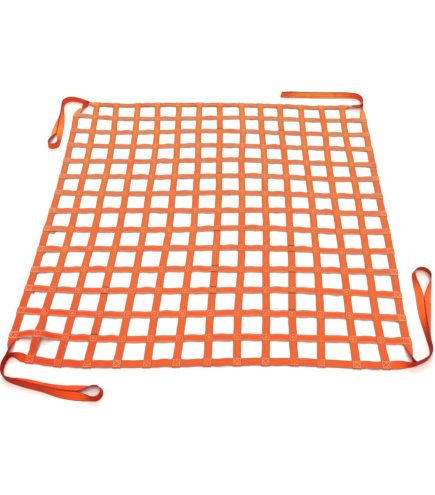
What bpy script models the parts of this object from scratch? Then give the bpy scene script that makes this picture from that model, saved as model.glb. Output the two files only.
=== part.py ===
"""Cargo lifting net lying on a floor: a square grid of flat webbing straps and a lifting loop at each corner.

Sizes are in millimetres and are turned into metres where a mesh is made. The middle of the grid is the
origin, +X is to the right, +Y is to the back and +Z is up. The floor is at z = 0.
"""

import math

import bmesh
import bpy
from mathutils import Matrix, Vector

MM = 0.001

# Driving sizes. The gap parts straps that are sewn together, and the layer gap parts a loop's two layers
PITCH = 105.0
CELLS = 14
WIDTH = 30.0
THICK = 2.0
GAP = 0.3
LAYER_GAP = 1.0

HALF_SIDE = CELLS * PITCH / 2
HALF_WIDTH = WIDTH / 2
HALF_THICK = THICK / 2
STEP_UP = THICK + GAP

# Height of a strap's middle where it lies on the floor, on one other strap, and on two
ON_FLOOR = HALF_THICK
OVER_ONE = ON_FLOOR + STEP_UP
OVER_TWO = OVER_ONE + STEP_UP

# How a strap lies at a crossing and how its end is folded round a border
LEVEL_HALF = 19.0
FOLD_EASE = 0.5
FOLD_RADIUS = STEP_UP
FOLD_ANGLES = (45.0, 90.0, 135.0)
TAIL_PAST = 4.0
TAIL_SPREAD = 3.0
TAIL_ARCH = 5.0

# Unevenness of the stretch between two crossings, and how it shifts from strap to strap and cell to cell
MOST_BOW = 3.0
MOST_TILT = 5.0
BOW_BY_STRAP = 1.9
BOW_BY_CELL = 2.7
TILT_BY_STRAP = 2.3
TILT_BY_CELL = -1.3
TAIL_BY_STRAP = 2.1

# One crossing, (lengthwise strap, crosswise strap), stands off the floor, and its crosswise strap is on top
RAISED_CROSSING = (1, 13)
RAISED_BY = 20.0
RAISED_REACH = 52.0

# Loops: the steps of the twist from a border, between table rows, of an open leg and round the tip
TWIST_STEPS = 10
AXIS_STEPS = 3
LEG_STEPS = 4
TIP_STEPS = 7
TIP_LEAN = 78.0
ON_EDGE = 90.0

# How far before and behind a place its heading is taken, in millimetres and in table rows
HEADING_REACH = 6.0
HEADING_ROWS = 0.05

CROSSING_ROUNDS = 5
SHARP_ANGLE = 40.0
ROUGHNESS = 0.75

ORANGE = (0.90, 0.13, 0.022)
DEEP_ORANGE = (0.86, 0.10, 0.02)
RED_ORANGE = (0.80, 0.06, 0.015)

# Sideways drift of each lengthwise strap from its even place, positive to the right. A row is a strap,
# from the left border to the right one, and a column is a distance in cells from the back border.
LENGTHWISE_DRIFT = (
    # back  2   4   6   8  10  12  front
    (2, 0, 8, 12, 9, 8, 1, -3),
    (-20, -8, 1, 5, 8, 2, -10, -20),
    (-23, -6, 4, 3, 8, 1, -6, -19),
    (-14, -1, 5, 8, 9, 1, -6, -16),
    (-14, 3, 10, 9, 11, 5, -3, -14),
    (-7, 3, 11, 12, 15, 5, -3, -10),
    (-4, 1, 11, 13, 15, 7, -1, -9),
    (-3, 4, 7, 12, 12, 9, 0, -3),
    (4, 14, 8, 12, 12, 10, 0, -1),
    (-2, 3, 12, 10, 12, 6, 3, -4),
    (-6, -4, 4, 8, 8, 6, -4, -6),
    (-3, -3, 0, 6, 6, 4, -2, -16),
    (-4, 0, -2, 2, 5, 5, 2, 5),
    (-2, -6, -2, 1, 1, 0, -3, 4),
    (-1, -9, -8, -8, -6, -9, -14, -8),
)

# Drift of each crosswise strap, positive to the back. A row is a strap, from the back border to the
# front one, and a column is a distance in cells from the left border.
CROSSWISE_DRIFT = (
    # left  2   4   6   8  10  12  right
    (8, -5, -1, 0, -2, -11, -22, -15),
    (18, -6, -7, -2, 4, -7, -17, -18),
    (4, -9, -4, 4, 3, -8, -16, -23),
    (1, -5, -6, 4, 2, -7, -14, -21),
    (-6, -8, -5, 2, 9, -4, -15, -24),
    (-8, -4, -6, 0, 7, 1, -13, -10),
    (-6, -8, -7, 0, 3, -3, -11, -12),
    (-11, -8, -3, -3, 3, 4, -6, -13),
    (-10, -12, -10, -4, 7, 3, -8, -7),
    (-18, -12, -7, -1, 4, 1, -8, -6),
    (-19, -12, -10, -3, -2, 1, -2, -8),
    (-3, -10, -7, -4, 3, 6, 0, -11),
    (-1, -11, -12, -5, 4, 4, -1, -9),
    (-4, -9, -12, -5, 5, 6, 4, 0),
    (15, -9, -7, 1, 10, 14, 8, 9),
)

# Crosswise straps whose left end was sewn with a long tail: how far it lies past the border's inner edge, and
# how far it turns to the front, in degrees. The strap arches over it.
LOOSE_TAILS = {
    8: (28.0, 15.0),
    9: (11.0, 15.0),
    11: (17.0, 14.0),
    13: (13.0, 13.0),
}

# Each loop: the border crossing where it starts, the one where it ends, its middle line from the corner to
# where the two layers part, and its eye. Lean is a strap's angle from the floor: 90 stands it on edge, and
# less than 90 leans its top over the eye's side. A crossing is (lengthwise strap, crosswise strap), and the
# leans beside it are even steps of the twist from there to the corner.
LOOPS = {
    "loop_front_left": {
        "starts": ("lengthwise", 0, 13),
        "start_leans": (0, 16, 50, 82, 90),
        "ends": ("crosswise", 1, 14),
        "end_leans": (0, 16, 50, 82, 90),
        "line": (
            # x, y, lean of the outgoing layer, lean of the returning layer
            (-733, -732, 90, 90),
            (-739, -758, 90, 90),
            (-735, -786, 90, 90),
            (-719, -808, 88, 84),
            (-690, -817, 78, 64),
            (-640, -828, 70, 50),
            (-570, -842, 66, 48),
            (-510, -852, 46, 38),
            (-457, -854, 24, 26),
        ),
        "eye_length": 93.0,
        "eye_radius": 24.0,
    },
    "loop_front_right": {
        "starts": ("crosswise", 13, 14),
        "start_leans": (0, 16, 50, 82, 90),
        "ends": ("lengthwise", 14, 13),
        "end_leans": (0, 16, 50, 82, 90),
        "line": (
            (745, -722, 90, 90),
            (771, -709, 90, 90),
            (793, -691, 90, 90),
            (802, -664, 84, 88),
            (802, -630, 70, 84),
            (803, -588, 62, 74),
            (808, -529, 44, 52),
            (818, -450, 22, 26),
        ),
        "eye_length": 142.0,
        "eye_radius": 34.0,
    },
    "loop_back_right": {
        "starts": ("lengthwise", 14, 1),
        "start_leans": (0, 16, 50, 82, 90),
        "ends": ("crosswise", 13, 0),
        "end_leans": (0, 42, 54, 62, 90),
        "line": (
            (732, 726, 90, 90),
            (733, 750, 90, 90),
            (727, 776, 90, 90),
            (703, 794, 98, 82),
            (652, 801, 112, 68),
            (580, 803, 126, 54),
            (500, 804, 128, 52),
            (420, 806, 124, 56),
        ),
        "eye_length": 102.0,
        "eye_radius": 5.0,
    },
    "loop_back_left": {
        "starts": ("crosswise", 1, 0),
        "start_leans": (0, 16, 50, 82, 90),
        "ends": ("lengthwise", 0, 1),
        "end_leans": (0, 30, 58, 76, 90),
        "line": (
            (-704, 735, 90, 90),
            (-742, 754, 90, 90),
            (-785, 766, 90, 90),
            (-815, 756, 90, 90),
            (-828, 731, 88, 88),
            (-825, 692, 78, 80),
            (-820, 640, 62, 64),
            (-818, 575, 38, 40),
            (-816, 510, 20, 22),
        ),
        "eye_length": 112.0,
        "eye_radius": 26.0,
    },
}


def smooth_value(values, place):
    """Value at a fractional place in evenly spaced values, on a smooth curve through them."""
    last = len(values) - 1
    place = min(max(place, 0.0), float(last))
    index = min(int(place), last - 1)
    part = place - index
    here = values[index]
    there = values[index + 1]
    before = values[index - 1] if index > 0 else 2 * here - there
    after = values[index + 2] if index + 2 <= last else 2 * there - here
    slope = there - before
    bend = 2 * before - 5 * here + 4 * there - after
    twist = 3 * (here - there) + after - before
    return here + 0.5 * part * (slope + part * (bend + part * twist))


def lengthwise_x(strap, y):
    """Sideways place of a lengthwise strap's middle at a distance along it."""
    even = (strap - CELLS / 2) * PITCH
    return even + smooth_value(LENGTHWISE_DRIFT[strap], (HALF_SIDE - y) / (2 * PITCH))


def crosswise_y(strap, x):
    """Place of a crosswise strap's middle, front to back, at a distance along it."""
    even = (CELLS / 2 - strap) * PITCH
    return even + smooth_value(CROSSWISE_DRIFT[strap], (x + HALF_SIDE) / (2 * PITCH))


def crossing(lengthwise, crosswise):
    """Where the middles of two straps cross in plan."""
    y = (CELLS / 2 - crosswise) * PITCH
    for _ in range(CROSSING_ROUNDS):
        x = lengthwise_x(lengthwise, y)
        y = crosswise_y(crosswise, x)
    return x, y


def plan_point(direction, strap, along):
    """Plan point of a strap's middle. Along runs from back to front, or from left to right."""
    if direction == "lengthwise":
        return Vector((lengthwise_x(strap, -along), -along, 0.0))
    return Vector((along, crosswise_y(strap, along), 0.0))


def crossing_along(direction, strap, other):
    """Distance along a strap, in its own direction, to where another one crosses it."""
    if direction == "lengthwise":
        return -crossing(strap, other)[1]
    return crossing(other, strap)[0]


def left_of(heading):
    """Level unit vector to the left of a heading."""
    return Vector((-heading.y, heading.x, 0.0)).normalized()


def webbing_material(name, colour):
    material = bpy.data.materials.new(name)
    material.use_nodes = True
    shader = material.node_tree.nodes["Principled BSDF"]
    shader.inputs["Base Color"].default_value = (*colour, 1.0)
    shader.inputs["Roughness"].default_value = ROUGHNESS
    shader.inputs["Metallic"].default_value = 0.0
    material.diffuse_color = (*colour, 1.0)
    return material


def section_corners(middle, edge, face, mitre):
    """Four corners of a strap's flat section, in order round it, none of them below the floor."""
    across = edge * HALF_WIDTH
    up = face * (HALF_THICK * mitre)
    corners = [middle + corner for corner in (across + up, -across + up, -across - up, across - up)]
    sunk = max(0.0, -min(corner.z for corner in corners))
    return [corner + Vector((0, 0, sunk)) for corner in corners]


def make_strap(name, stations, colour):
    """A closed flat strap through (middle, edge, square) stations, where edge runs across its width."""
    middles = [station[0] for station in stations]
    last = len(middles) - 1
    mesh = bpy.data.meshes.new(name)
    shape = bmesh.new()
    rings = []
    for index, (middle, edge, square) in enumerate(stations):
        coming = (middle - middles[max(index - 1, 0)]).normalized()
        going = (middles[min(index + 1, last)] - middle).normalized()
        heading = (coming + going).normalized()
        across = (edge - heading * edge.dot(heading)).normalized() if square else edge
        face = heading.cross(across).normalized()
        turn = coming.angle(going) if 0 < index < last else 0.0
        corners = section_corners(middle, across, face, 1.0 / math.cos(turn / 2))
        rings.append([shape.verts.new(corner * MM) for corner in corners])
    for (a, b, c, d), (e, f, g, h) in zip(rings, rings[1:]):
        # Both broad faces are split along the shorter diagonal, so a twisted strap keeps its thickness
        if (a.co - f.co).length < (b.co - e.co).length:
            broad = ((a, b, f), (a, f, e), (c, d, g), (d, h, g))
        else:
            broad = ((a, b, e), (b, f, e), (c, d, h), (c, h, g))
        narrow = ((b, c, f), (c, g, f), (d, a, e), (d, e, h))
        for corners in broad + narrow:
            shape.faces.new(corners)
    shape.faces.new(rings[0][::-1])
    shape.faces.new(rings[-1])
    bmesh.ops.recalc_face_normals(shape, faces=shape.faces)
    shape.to_mesh(mesh)
    shape.free()
    mesh.shade_smooth()
    mesh.set_sharp_from_angle(angle=math.radians(SHARP_ANGLE))
    strap = bpy.data.objects.new(name, mesh)
    bpy.context.scene.collection.objects.link(strap)
    mesh.materials.append(webbing_material(name, colour))
    return strap


def bow(direction, strap, cell):
    """Height and sideways tilt of the stretch in one cell, a little different in each."""
    turn = 1.0 if direction == "lengthwise" else 2.0
    wave = math.sin(BOW_BY_STRAP * strap + BOW_BY_CELL * cell + turn)
    tilt = MOST_TILT * math.sin(TILT_BY_STRAP * strap + TILT_BY_CELL * cell + 3 * turn)
    height = MOST_BOW * (0.5 + 0.5 * wave) + HALF_WIDTH * abs(math.sin(math.radians(tilt)))
    return ON_FLOOR + height, tilt


def raised_at(direction, strap, along):
    """How far the raised crossing lifts a strap off the floor at a distance along it."""
    lengthwise, crosswise = RAISED_CROSSING
    own, other = (lengthwise, crosswise) if direction == "lengthwise" else (crosswise, lengthwise)
    if strap != own:
        return 0.0
    away = abs(along - crossing_along(direction, strap, other)) - LEVEL_HALF
    part = min(max(away / RAISED_REACH, 0.0), 1.0)
    return RAISED_BY * (1 - part * part * (3 - 2 * part))


def level_at(direction, strap, other):
    """Height of a strap's middle where it crosses another inner strap, before any lift."""
    place = (strap, other) if direction == "lengthwise" else (other, strap)
    on_top = (direction == "lengthwise") != (place == RAISED_CROSSING)
    return OVER_ONE if on_top else ON_FLOOR


def heading_at(direction, strap, along):
    """Level unit heading of a strap at a distance along it."""
    ahead = plan_point(direction, strap, along + HEADING_REACH)
    return (ahead - plan_point(direction, strap, along - HEADING_REACH)).normalized()


def folded_end(direction, strap, border, outward):
    """Stations of a strap's end folded square round a border's edge, from its tail's end to its inner side."""
    along = crossing_along(direction, strap, border)
    ahead = heading_at(direction, strap, along)
    border_direction = "crosswise" if direction == "lengthwise" else "lengthwise"
    axis = heading_at(border_direction, border, crossing_along(border_direction, border, strap))
    if axis.dot(left_of(ahead)) < 0:
        axis = -axis
    out = ahead * outward
    normal = (out - axis * out.dot(axis)).normalized()
    slide = axis * (out.dot(axis) / out.dot(normal))
    edge = axis / out.dot(normal)

    tail_past = TAIL_PAST + TAIL_SPREAD * math.sin(TAIL_BY_STRAP * strap + outward)
    tail_turn = 0.0
    if direction == "crosswise" and border == 0 and strap in LOOSE_TAILS:
        tail_past, tail_turn = LOOSE_TAILS[strap]
    tail_heading = (slide - normal).normalized()
    tail_heading.rotate(Matrix.Rotation(-math.radians(tail_turn), 3, "Z"))
    turn_reach = HALF_WIDTH + FOLD_EASE
    turn = plan_point(direction, strap, along) + (normal + slide) * turn_reach
    turn_under = turn + slide * (math.pi * FOLD_RADIUS)
    tail_end = turn_under + tail_heading * (turn_reach + HALF_WIDTH + tail_past)

    up = Vector((0, 0, 1))
    tail_edge = left_of(tail_heading) * -outward
    stations = [(tail_end + up * ON_FLOOR, tail_edge, True), (turn_under + up * ON_FLOOR, edge, False)]
    for angle in FOLD_ANGLES:
        around = math.radians(angle)
        onward = normal * (FOLD_RADIUS * math.sin(around)) + slide * (FOLD_RADIUS * (math.pi - around))
        stations.append((turn + onward + up * (OVER_ONE - FOLD_RADIUS * math.cos(around)), edge, False))
    inner = plan_point(direction, strap, along - outward * LEVEL_HALF)
    stations.append((turn + up * OVER_TWO, edge, False))
    stations.append((inner + up * OVER_TWO, left_of(ahead), True))
    return stations


def inner_profile(direction, strap, crossings, levels):
    """(along, height, tilt) between the first and last crossings, level at each and bowed between."""
    profile = []
    for cell in range(len(crossings) - 1):
        start = crossings[cell]
        end = crossings[cell + 1]
        height, tilt = bow(direction, strap, cell)
        if direction == "crosswise" and cell == 0 and strap in LOOSE_TAILS:
            height += TAIL_ARCH
        profile.append(((start + end) / 2, height, tilt))
        if cell < len(crossings) - 2:
            profile.append((end - LEVEL_HALF, levels[cell + 1], 0.0))
            profile.append((end + LEVEL_HALF, levels[cell + 1], 0.0))
    return profile


def strap_stations(direction, strap, profile):
    """Stations in space from a profile of (along, height, tilt)."""
    stations = []
    for along, height, tilt in profile:
        heading = heading_at(direction, strap, along)
        lifted = height + raised_at(direction, strap, along)
        middle = plan_point(direction, strap, along) + Vector((0, 0, lifted))
        lean = math.radians(tilt)
        edge = left_of(heading) * math.cos(lean) + Vector((0, 0, math.sin(lean)))
        stations.append((middle, edge, True))
    return stations


def inner_strap(direction, strap, colour):
    """A strap of the grid's inside, with both ends folded round the borders."""
    crossings = [crossing_along(direction, strap, other) for other in range(CELLS + 1)]
    levels = [level_at(direction, strap, other) for other in range(CELLS + 1)]
    profile = inner_profile(direction, strap, crossings, levels)
    stations = folded_end(direction, strap, 0, -1)
    stations += strap_stations(direction, strap, profile)
    stations += folded_end(direction, strap, CELLS, 1)[::-1]
    make_strap(f"{direction}_{strap:02d}", stations, colour)


def border_strap(name, direction, strap, colour):
    """A border between its first and last inner crossings, where it meets the loops end to end."""
    crossings = [crossing_along(direction, strap, other) for other in range(1, CELLS)]
    start = crossings[0]
    end = crossings[-1]
    profile = [(start + GAP / 2, OVER_ONE, 0.0), (start + LEVEL_HALF, OVER_ONE, 0.0)]
    profile += inner_profile(direction, strap, crossings, [OVER_ONE] * len(crossings))
    profile += [(end - LEVEL_HALF, OVER_ONE, 0.0), (end - GAP / 2, OVER_ONE, 0.0)]
    make_strap(name, strap_stations(direction, strap, profile), colour)


def resting_height(lean):
    """Height of a leaning strap's middle when its lower edge lies on the floor."""
    return HALF_WIDTH * math.sin(lean) + HALF_THICK * abs(math.cos(lean))


def leaning_station(plan, heading, lean, lift=0.0):
    """A station of a strap that lies, leans or stands on the floor, its top over its left side."""
    middle = plan + Vector((0, 0, resting_height(lean) + lift))
    edge = left_of(heading) * math.cos(lean) + Vector((0, 0, math.sin(lean)))
    return middle, edge, True


def spread_of(lean, other_lean):
    """Half the distance between two layers that touch: along their tops, or face to face."""
    face_to_face = (HALF_THICK + LAYER_GAP / 2) / math.sin(lean)
    if max(lean, other_lean) > math.radians(ON_EDGE):
        return face_to_face
    return HALF_WIDTH * math.cos(lean) + HALF_THICK * math.sin(lean) + LAYER_GAP / 2


def twist_from_border(place, leans, meeting, meeting_heading):
    """Stations from a border's last crossing, flat, to the corner, on edge."""
    direction, lengthwise, crosswise = place
    strap, other = (lengthwise, crosswise) if direction == "lengthwise" else (crosswise, lengthwise)
    root_along = crossing_along(direction, strap, other)
    outward = 1 if root_along > 0 else -1
    root = plan_point(direction, strap, root_along + outward * GAP / 2)
    level_end = plan_point(direction, strap, root_along + outward * LEVEL_HALF)
    heading = (level_end - root).normalized()
    reach = (meeting - level_end).length
    stations = [leaning_station(root, heading, 0.0, STEP_UP)]
    for step in range(TWIST_STEPS):
        part = step / TWIST_STEPS
        pull_out = heading * (reach * part * (1 - part) ** 2)
        pull_in = meeting_heading * (reach * (part - 1) * part**2)
        blend = part * part * (3 - 2 * part)
        plan = level_end.lerp(meeting, blend) + pull_out + pull_in
        ahead = heading.lerp(meeting_heading, blend)
        lean = math.radians(smooth_value(leans, part * (len(leans) - 1)))
        stations.append(leaning_station(plan, ahead, lean, STEP_UP * (1 - part)))
    return stations


def loop_strap(name, loop, colour):
    """One strap that leaves a border, runs out on one side of a middle line and comes back on the other."""
    rows = loop["line"]
    columns = list(zip(*rows))
    out_leg = []
    back_leg = []
    places = [step / AXIS_STEPS for step in range(AXIS_STEPS * (len(rows) - 1) + 1)]
    for place in places:
        x, y, out_lean, back_lean = (smooth_value(column, place) for column in columns)
        x_on, y_on = (smooth_value(column, place + HEADING_ROWS) for column in columns[:2])
        x_back, y_back = (smooth_value(column, place - HEADING_ROWS) for column in columns[:2])
        heading = Vector((x_on - x_back, y_on - y_back, 0.0)).normalized()
        side = left_of(heading)
        middle = Vector((x, y, 0.0))
        out_lean = math.radians(out_lean)
        back_lean = math.radians(back_lean)
        out_plan = middle - side * spread_of(out_lean, back_lean)
        back_plan = middle + side * spread_of(back_lean, out_lean)
        out_leg.append(leaning_station(out_plan, heading, out_lean))
        back_leg.append(leaning_station(back_plan, -heading, back_lean))

    parting = middle
    start_spreads = (spread_of(out_lean, back_lean), spread_of(back_lean, out_lean))
    radius = loop["eye_radius"]
    straight = loop["eye_length"] - radius
    tip_lean = math.radians(TIP_LEAN)
    for step in range(1, LEG_STEPS):
        part = step / LEG_STEPS
        blend = part * part * (3 - 2 * part)
        along = parting + heading * (straight * part)
        out_now = out_lean + (tip_lean - out_lean) * blend
        back_now = back_lean + (tip_lean - back_lean) * blend
        out_side = side * (start_spreads[0] + (radius - start_spreads[0]) * blend)
        back_side = side * (start_spreads[1] + (radius - start_spreads[1]) * blend)
        out_leg.append(leaning_station(along - out_side, heading, out_now))
        back_leg.append(leaning_station(along + back_side, -heading, back_now))

    centre = parting + heading * straight
    tip = []
    for step in range(TIP_STEPS + 1):
        angle = math.pi * step / TIP_STEPS
        outward = heading * math.sin(angle) - side * math.cos(angle)
        onward = heading * math.cos(angle) + side * math.sin(angle)
        tip.append(leaning_station(centre + outward * radius, onward, tip_lean))

    start_heading = Vector((rows[1][0] - rows[0][0], rows[1][1] - rows[0][1], 0.0)).normalized()
    first = Vector((*out_leg[0][0].xy, 0.0))
    last = Vector((*back_leg[0][0].xy, 0.0))
    leaving = twist_from_border(loop["starts"], loop["start_leans"], first, start_heading)
    returning = twist_from_border(loop["ends"], loop["end_leans"], last, start_heading)
    returning = [(middle, Vector((-edge.x, -edge.y, edge.z)), square) for middle, edge, square in returning]
    make_strap(name, leaving + out_leg + tip + back_leg[::-1] + returning[::-1], colour)


def build_net():
    for item in list(bpy.data.objects):
        bpy.data.objects.remove(item, do_unlink=True)
    for strap in range(1, CELLS):
        inner_strap("lengthwise", strap, ORANGE)
        inner_strap("crosswise", strap, DEEP_ORANGE)
    border_strap("border_left", "lengthwise", 0, DEEP_ORANGE)
    border_strap("border_right", "lengthwise", CELLS, DEEP_ORANGE)
    border_strap("border_back", "crosswise", 0, DEEP_ORANGE)
    border_strap("border_front", "crosswise", CELLS, DEEP_ORANGE)
    for name, loop in LOOPS.items():
        loop_strap(name, loop, RED_ORANGE)


build_net()
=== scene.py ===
"""Looks of a cargo lifting net: flat webbing straps with their ribs, weave and sewing, on a pale floor.

Strap sizes are in millimetres, in the frame of the model: the middle of the grid is the origin, +X is to
the right, +Y is to the back and +Z is up, with the floor at z = 0.
"""

import math

import bpy
import numpy as np
from mathutils import Matrix, Vector


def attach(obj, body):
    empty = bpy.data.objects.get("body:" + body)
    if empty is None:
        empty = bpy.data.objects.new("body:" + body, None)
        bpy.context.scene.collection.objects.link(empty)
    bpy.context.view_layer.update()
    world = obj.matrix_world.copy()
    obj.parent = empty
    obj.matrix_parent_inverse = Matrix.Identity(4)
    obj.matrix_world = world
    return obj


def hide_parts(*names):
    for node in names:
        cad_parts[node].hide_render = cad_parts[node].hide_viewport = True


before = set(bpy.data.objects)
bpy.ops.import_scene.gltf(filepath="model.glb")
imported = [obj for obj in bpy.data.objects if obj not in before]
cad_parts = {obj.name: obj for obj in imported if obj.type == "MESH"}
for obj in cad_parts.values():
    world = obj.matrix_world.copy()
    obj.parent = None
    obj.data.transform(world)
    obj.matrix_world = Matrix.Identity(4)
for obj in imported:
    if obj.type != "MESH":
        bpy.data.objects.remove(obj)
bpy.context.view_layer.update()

MM = 0.001

# Driving sizes. The gap parts straps that are sewn together, and the layer gap parts a loop's two layers
PITCH = 105.0
CELLS = 14
WIDTH = 30.0
THICK = 2.0
GAP = 0.3
LAYER_GAP = 1.0

HALF_SIDE = CELLS * PITCH / 2
HALF_WIDTH = WIDTH / 2
HALF_THICK = THICK / 2
STEP_UP = THICK + GAP

# Height of a strap's middle where it lies on the floor, on one other strap, and on two
ON_FLOOR = HALF_THICK
OVER_ONE = ON_FLOOR + STEP_UP
OVER_TWO = OVER_ONE + STEP_UP

# How a strap lies at a crossing and how its end is folded round a border
LEVEL_HALF = 19.0
FOLD_EASE = -0.8
FOLD_RADIUS = STEP_UP
FOLD_ANGLES = (15.0, 35.0, 55.0, 75.0, 90.0, 105.0, 125.0, 145.0, 165.0)
TAIL_PAST = 4.0
TAIL_SPREAD = 3.0
TAIL_ARCH = 5.0

# Unevenness of the stretch between two crossings, and how it shifts from strap to strap and cell to cell
MOST_BOW = 3.0
MOST_TILT = 5.0
BOW_BY_STRAP = 1.9
BOW_BY_CELL = 2.7
TILT_BY_STRAP = 2.3
TILT_BY_CELL = -1.3
TAIL_BY_STRAP = 2.1

# One crossing, (lengthwise strap, crosswise strap), stands off the floor, and its crosswise strap is on top
RAISED_CROSSING = (1, 13)
RAISED_BY = 20.0
RAISED_REACH = 52.0

# Loops: the steps of the twist from a border, between table rows, of an open leg and round the tip
TWIST_STEPS = 24
AXIS_STEPS = 8
LEG_STEPS = 14
TIP_STEPS = 24
TIP_LEAN = 78.0
ON_EDGE = 90.0

# How far before and behind a place its heading is taken, in millimetres and in table rows
HEADING_REACH = 6.0
HEADING_ROWS = 0.05

CROSSING_ROUNDS = 5

# Half the section of the webbing, from its middle to its edge: across, and the height of its face over the
# middle of its thickness. The edges are rounded, and a shallow groove runs on each side of the middle
HALF_SECTION = (
    (0.0, 0.92),
    (4.2, 0.88),
    (5.2, 0.62),
    (6.2, 0.88),
    (9.0, 0.88),
    (12.0, 0.84),
    (13.2, 0.96),
    (14.2, 0.92),
    (14.8, 0.60),
    (15.0, 0.0),
)
SECTION = [(-across, height) for across, height in HALF_SECTION[:0:-1]] + list(HALF_SECTION)
SHARP_ANGLE = 60.0

# Places along a cell between its two crossings, and along a crossing from its middle
CELL_PARTS = (0.1, 0.2, 0.32, 0.44, 0.56, 0.68, 0.8, 0.9)
CROSSING_PLACES = (-19.0, -14.5, -7.0, 0.0, 7.0, 14.5, 19.0)

# The sewn crossings stand a little off the floor. A free stretch rises, skewed to one end, and wavers
# sideways with a swing to one side and a curl to both. The rhythms set how these change from cell to cell
CROSSING_LIFT = 1.2
FREE_LIFT = 1.1
MOST_SKEW = 0.45
MOST_WAVER = {"lengthwise": 0.5, "crosswise": 1.3}
SKEW_RHYTHM = 0.9
SWING_RHYTHM = 1.3
CURL_RHYTHM = 2.1

# Sewing: the box and the diamond in it at a border, and the ring and the diamond in it at a crossing
BOX_HALF = 12.0
BOX_DIAMOND_HALF = 9.5
RING_RADIUS = 12.6
RING_DIAMOND_HALF = 5.0

# A stitch, whose shoulders and crest are parts of its half length and whose ends sink in the webbing
STITCH_PITCH = 3.2
STITCH_LENGTH = 2.7
STITCH_HALF_WIDTH = 0.75
STITCH_HEIGHT = 0.35
STITCH_SHOULDER = 0.6
STITCH_CREST = 0.55
STITCH_SUNK = 0.25
STITCH_FACES = (
    (0, 6, 1),
    (1, 6, 7, 2),
    (2, 7, 3),
    (3, 7, 4),
    (4, 7, 6, 5),
    (5, 6, 0),
    (0, 1, 2, 3, 4, 5),
)
FACE_HEIGHT = 0.9

# Crossings (lengthwise strap, crosswise strap) with a painted step shadow at the front (1) or the back
# (-1): a dark bar of stitches standing for the shadow of the strap's drop off the crossing. Then half a
# bar's length, how far it stands out, and how far its rows of stitches are from the crossing
STEP_SHADOW_BARS = (
    (3, 11, -1), (3, 11, 1), (3, 13, -1),
    (7, 2, -1), (7, 5, -1), (7, 8, 1), (7, 10, -1), (7, 10, 1), (7, 11, -1), (7, 11, 1),
    (10, 2, -1), (10, 9, -1), (10, 9, 1), (10, 10, 1), (10, 11, 1), (10, 12, -1),
)
STEP_SHADOW_HALF = 12.0
STEP_SHADOW_RAISED = 0.25
STEP_SHADOW_ROWS = (12.8, 14.1, 15.4, 16.7)

# Sideways drift of each lengthwise strap from its even place, positive to the right. A row is a strap,
# from the left border to the right one, and a column is a distance in cells from the back border
LENGTHWISE_DRIFT = (
    # back  2   4   6   8  10  12  front
    (2, 0, 8, 12, 9, 8, 1, -3),
    (-20, -8, 1, 5, 8, 2, -10, -20),
    (-23, -6, 4, 3, 8, 1, -6, -19),
    (-14, -1, 5, 8, 9, 1, -6, -16),
    (-14, 3, 10, 9, 11, 5, -3, -14),
    (-7, 3, 11, 12, 15, 5, -3, -10),
    (-4, 1, 11, 13, 15, 7, -1, -9),
    (-3, 4, 7, 12, 12, 9, 0, -3),
    (4, 14, 8, 12, 12, 10, 0, -1),
    (-2, 3, 12, 10, 12, 6, 3, -4),
    (-6, -4, 4, 8, 8, 6, -4, -6),
    (-3, -3, 0, 6, 6, 4, -2, -16),
    (-4, 0, -2, 2, 5, 5, 2, 5),
    (-2, -6, -2, 1, 1, 0, -3, 4),
    (-1, -9, -8, -8, -6, -9, -14, -8),
)

# Drift of each crosswise strap, positive to the back. A row is a strap, from the back border to the
# front one, and a column is a distance in cells from the left border
CROSSWISE_DRIFT = (
    # left  2   4   6   8  10  12  right
    (8, -5, -1, 0, -2, -11, -22, -15),
    (18, -6, -7, -2, 4, -7, -17, -18),
    (4, -9, -4, 4, 3, -8, -16, -23),
    (1, -5, -6, 4, 2, -7, -14, -21),
    (-6, -8, -5, 2, 9, -4, -15, -24),
    (-8, -4, -6, 0, 7, 1, -13, -10),
    (-6, -8, -7, 0, 3, -3, -11, -12),
    (-11, -8, -3, -3, 3, 4, -6, -13),
    (-10, -12, -10, -4, 7, 3, -8, -7),
    (-18, -12, -7, -1, 4, 1, -8, -6),
    (-19, -12, -10, -3, -2, 1, -2, -8),
    (-3, -10, -7, -4, 3, 6, 0, -11),
    (-1, -11, -12, -5, 4, 4, -1, -9),
    (-4, -9, -12, -5, 5, 6, 4, 0),
    (15, -9, -7, 1, 10, 14, 8, 9),
)

# Where a lengthwise strap was pulled aside: the strap, the distance in cells from the back border, and the
# shift, positive to the right, which fades within one cell
LOCAL_SHIFTS = (
    (0, 1, -9),
    (14, 1, -4),
    (1, 13, 7),
)

# Crosswise straps whose left end was sewn with a long tail: how far it lies past the border's inner edge,
# and how far it turns to the front, in degrees. The strap arches over it
LOOSE_TAILS = {
    8: (28.0, 15.0),
    9: (11.0, 15.0),
    11: (17.0, 14.0),
    13: (13.0, 13.0),
}

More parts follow.
